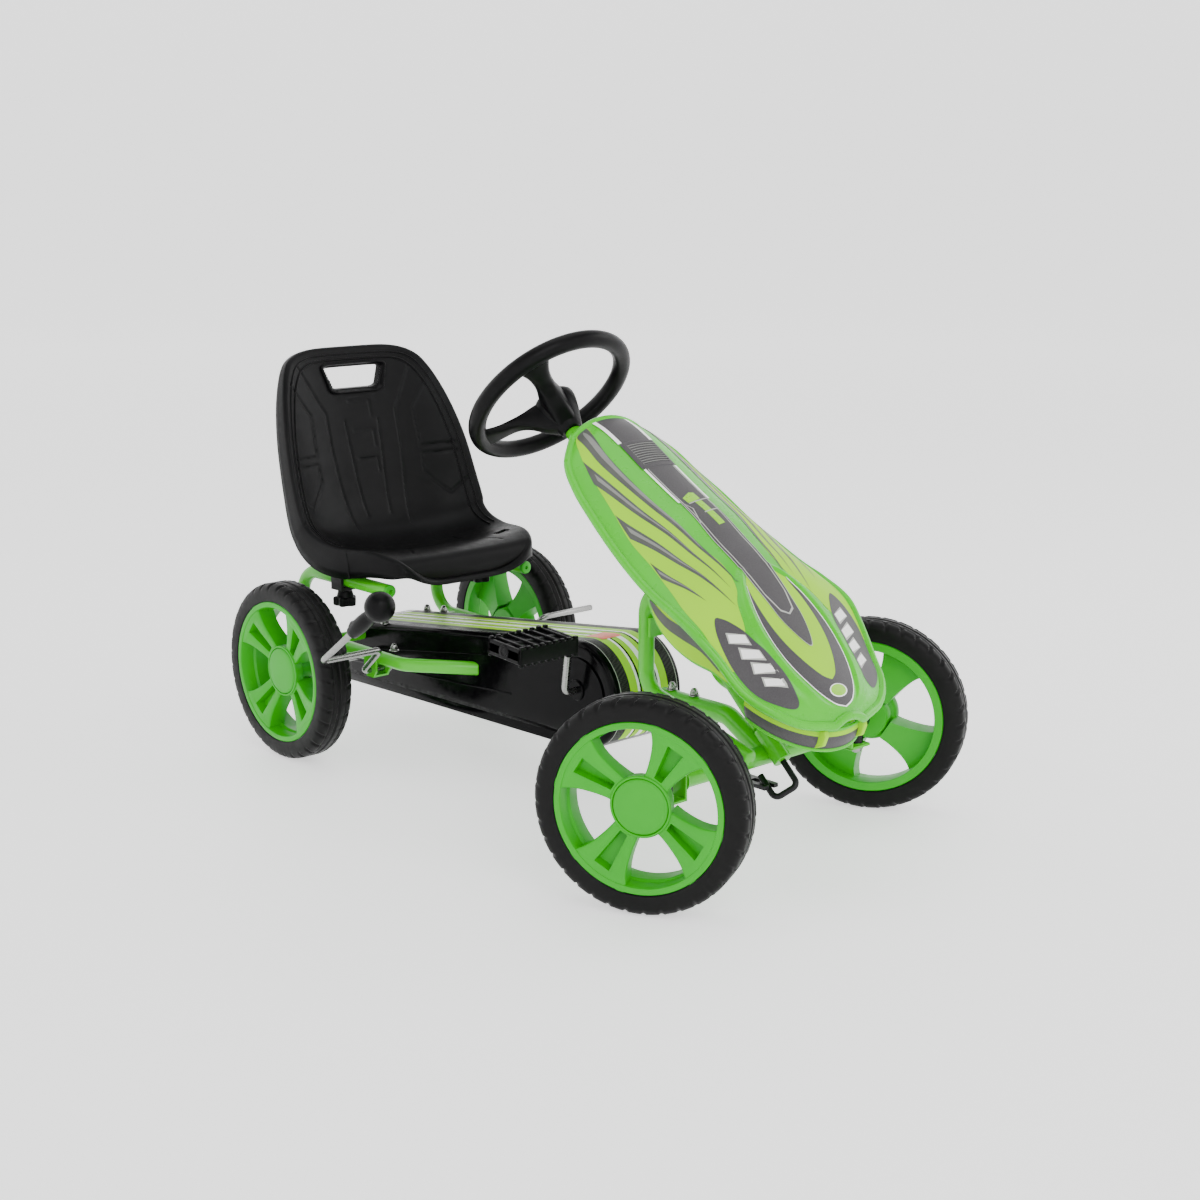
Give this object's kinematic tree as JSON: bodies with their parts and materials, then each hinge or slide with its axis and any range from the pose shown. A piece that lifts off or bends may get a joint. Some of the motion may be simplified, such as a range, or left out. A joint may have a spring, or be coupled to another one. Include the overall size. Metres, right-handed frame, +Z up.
{
  "type": "pedal go kart",
  "caption": "Child's pedal go-kart: spoked plastic wheels, bucket seat on rails, raked steering wheel, chain drive under a guard, shoe brake and moulded nose fairing.",
  "frame": {"origin": "on the floor under the middle of the overall box", "axes": "+X to the driver's left, +Y to the rear, +Z up; the kart faces -Y and is stored with its steering turned left"},
  "size_m": [0.624, 1.0313, 0.6216],
  "materials": {
    "frame_paint": "glossy light green powder coat",
    "wheel_plastic": "satin green moulded plastic",
    "tyre": "semi-gloss black moulded tread",
    "fairing_plastic": "glossy green moulding with lime, grey and white graphics",
    "guard_plastic": "glossy black moulding",
    "black_plastic": "fine-grained matte black",
    "steel": "bright zinc plate",
    "dark_steel": "black coating",
    "nylon": "natural nylon"
  },
  "bodies": {
    "frame": {"main_frame": "frame_paint", "front_axle_beam": "frame_paint", "frame_bolt_rear": "steel", "frame_bolt_front": "steel", "column_bracket": "frame_paint", "support_tube_right": "frame_paint", "support_tube_left": "frame_paint", "seat_rail_right": "frame_paint", "seat_rail_left": "frame_paint", "rail_cap_right": "wheel_plastic", "rail_cap_left": "wheel_plastic", "axle_bush_right": "nylon", "axle_bush_left": "nylon", "fairing_shell": "fairing_plastic", "fairing_lip": "fairing_plastic", "guard_cover": "guard_plastic", "side_wing_right": "fairing_plastic", "guard_side_right": "guard_plastic", "side_wing_left": "fairing_plastic", "guard_side_left": "guard_plastic", "chain": "dark_steel", "kingpin_bolt_right": "steel", "kingpin_bolt_left": "steel", "crank_bush_right": "nylon", "crank_bush_left": "nylon", "brake_spring": "steel", "brake_bracket_right": "frame_paint", "brake_bracket_left": "frame_paint"},
    "steering": {"steering_wheel": "black_plastic", "steering_wheel_cap": "guard_plastic", "steering_column": "frame_paint", "steering_shaft": "dark_steel"},
    "knuckle_right": {"knuckle_right": "dark_steel"},
    "knuckle_left": {"knuckle_left": "dark_steel"},
    "tie_rod": {"tie_rod": "dark_steel"},
    "front_wheel_right": {"tyre_front_right": "tyre", "rim_front_right": "wheel_plastic", "hub_cap_front_right": "wheel_plastic"},
    "front_wheel_left": {"tyre_front_left": "tyre", "rim_front_left": "wheel_plastic", "hub_cap_front_left": "wheel_plastic"},
    "rear_axle": {"rear_axle": "steel", "rear_sprocket": "dark_steel", "tyre_rear_right": "tyre", "rim_rear_right": "wheel_plastic", "hub_cap_rear_right": "wheel_plastic"},
    "rear_wheel_left": {"tyre_rear_left": "tyre", "rim_rear_left": "wheel_plastic", "hub_cap_rear_left": "wheel_plastic"},
    "crank": {"crank": "steel", "chainring": "dark_steel"},
    "pedal_right": {"pedal_right": "black_plastic"},
    "pedal_left": {"pedal_left": "black_plastic"},
    "brake": {"brake_rod": "steel", "brake_handle": "black_plastic"},
    "seat": {"seat_shell": "black_plastic", "seat_clamp_right": "dark_steel", "seat_clamp_left": "dark_steel"},
    "star_knob_right": {"star_knob_right": "black_plastic"},
    "star_knob_left": {"star_knob_left": "black_plastic"}
  },
  "joints": [
    {"name": "steering_turn", "type": "hinge", "parent": "frame", "child": "steering", "pos_m": [0, 0.0411, 0.5308], "axis": [0, 0.7267, 0.687], "range_deg": [-90, 0]},
    {"name": "knuckle_right_turn", "type": "hinge", "parent": "frame", "child": "knuckle_right", "pos_m": [-0.17, -0.359, 0.127], "axis": [0, 0, 1], "range_deg": [-55, 0.5]},
    {"name": "knuckle_left_turn", "type": "hinge", "parent": "frame", "child": "knuckle_left", "pos_m": [0.17, -0.359, 0.127], "axis": [0, 0, 1], "range_deg": [-55, 0.5]},
    {"name": "tie_rod_swing", "type": "hinge", "parent": "knuckle_right", "child": "tie_rod", "pos_m": [-0.19301, -0.31461, 0.0985], "axis": [0, 0, 1], "range_deg": [-0.5, 55]},
    {"name": "front_wheel_right_spin", "type": "hinge", "parent": "knuckle_right", "child": "front_wheel_right", "pos_m": [-0.17, -0.359, 0.127], "axis": [0.8878, 0.4602, 0], "continuous": true},
    {"name": "front_wheel_left_spin", "type": "hinge", "parent": "knuckle_left", "child": "front_wheel_left", "pos_m": [0.17, -0.359, 0.127], "axis": [0.8878, 0.4602, 0], "continuous": true},
    {"name": "rear_axle_spin", "type": "hinge", "parent": "frame", "child": "rear_axle", "pos_m": [0, 0.373, 0.127], "axis": [1, 0, 0], "continuous": true},
    {"name": "rear_wheel_left_spin", "type": "hinge", "parent": "rear_axle", "child": "rear_wheel_left", "pos_m": [0, 0.373, 0.127], "axis": [1, 0, 0], "continuous": true},
    {"name": "crank_spin", "type": "hinge", "parent": "frame", "child": "crank", "pos_m": [0, -0.082, 0.163], "axis": [1, 0, 0], "continuous": true},
    {"name": "pedal_right_spin", "type": "hinge", "parent": "crank", "child": "pedal_right", "pos_m": [-0.144, -0.092, 0.238], "axis": [1, 0, 0], "continuous": true},
    {"name": "pedal_left_spin", "type": "hinge", "parent": "crank", "child": "pedal_left", "pos_m": [0.144, -0.072, 0.088], "axis": [1, 0, 0], "continuous": true},
    {"name": "brake_pull", "type": "hinge", "parent": "frame", "child": "brake", "pos_m": [0, 0.278, 0.132], "axis": [-1, 0, 0], "range_deg": [0, 25], "stiffness_Nm_per_rad": 2, "springref_deg": -17.19},
    {"name": "seat_slide", "type": "slide", "parent": "frame", "child": "seat", "axis": [0, 1, 0], "range_m": [-0.04, 0.02]},
    {"name": "star_knob_right_turn", "type": "hinge", "parent": "seat", "child": "star_knob_right", "pos_m": [-0.123, 0.353, 0.225], "axis": [0, 0, 1], "range_deg": [-90, 90]},
    {"name": "star_knob_left_turn", "type": "hinge", "parent": "seat", "child": "star_knob_left", "pos_m": [0.123, 0.353, 0.225], "axis": [0, 0, 1], "range_deg": [-90, 90]}
  ],
  "couplings": [
    {"joint": "knuckle_right_turn", "follows": "steering_turn", "ratio": 0.60889},
    {"joint": "knuckle_left_turn", "follows": "steering_turn", "ratio": 0.60889},
    {"joint": "tie_rod_swing", "follows": "steering_turn", "ratio": -0.60889},
    {"joint": "crank_spin", "follows": "rear_axle_spin", "ratio": 0.5}
  ]
}
